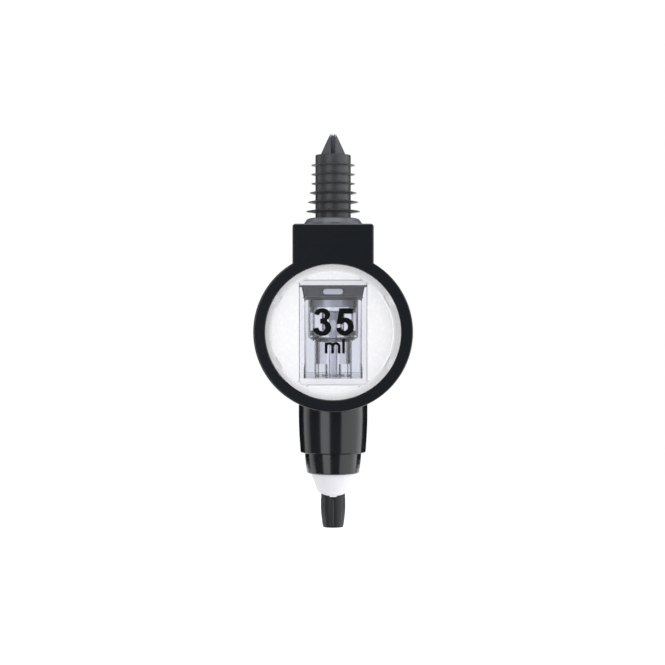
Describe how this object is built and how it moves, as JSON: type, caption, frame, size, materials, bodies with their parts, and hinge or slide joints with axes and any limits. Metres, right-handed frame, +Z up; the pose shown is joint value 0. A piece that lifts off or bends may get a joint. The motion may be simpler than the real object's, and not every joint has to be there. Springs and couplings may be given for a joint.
{
  "type": "liquor optic dispenser",
  "caption": "Push-up spirit measure: ribbed cork and spike, round drum with a clear chamber, barrel and a spring-loaded plunger with a spout.",
  "frame": {"origin": "centre of the bracket pad, the flat rear face of the neck block", "axes": "+Z up along the valve axis, towards the pourer spike; +Y out of the bracket pad, towards the wall; the drum's clear front faces -Y"},
  "size_m": [0.0734, 0.0525, 0.1864],
  "materials": {
    "spike_plastic": "satin dark grey plastic",
    "cork_rubber": "matt dark grey rubber",
    "steel": "plain stainless steel",
    "flange_plastic": "satin dark grey plastic",
    "seal_rubber": "matt black rubber",
    "black_plastic": "glossy black plastic",
    "lens_clear": "clear glossy plastic",
    "face_white": "glossy white plastic",
    "chamber_clear": "clear glossy plastic",
    "plug_rubber": "satin grey rubber",
    "natural_plastic": "satin natural plastic",
    "spout_plastic": "glossy black plastic",
    "valve_rubber": "pale silicone rubber"
  },
  "bodies": {
    "housing": {"pourer_spike": "spike_plastic", "cork": "cork_rubber", "breather_tube": "steel", "cork_flange": "flange_plastic", "flange_washer": "seal_rubber", "body": "black_plastic", "rear_cover": "black_plastic", "cover_screws": "steel", "lens": "lens_clear", "face_plate": "face_white", "chamber": "chamber_clear", "chamber_plug": "plug_rubber", "plug_pin": "natural_plastic", "chamber_cap": "chamber_clear", "valve_column": "chamber_clear", "upper_oring": "valve_rubber", "lower_oring": "valve_rubber", "inlet_seat": "natural_plastic", "spindle_guide": "natural_plastic", "outlet_seat": "seal_rubber", "spring_washer": "steel", "barrel_collar": "black_plastic", "return_spring": "steel"},
    "plunger": {"plunger_cone": "face_white", "spout": "spout_plastic", "spindle": "natural_plastic", "inlet_valve": "valve_rubber", "outlet_valve": "seal_rubber", "spindle_nut": "steel"}
  },
  "joints": [
    {"name": "plunger_push", "type": "slide", "parent": "housing", "child": "plunger", "axis": [0, 0, 1], "range_m": [0, 0.008], "stiffness_N_per_m": 430, "springref_m": -0.0125, "deforming": ["return_spring"]}
  ]
}
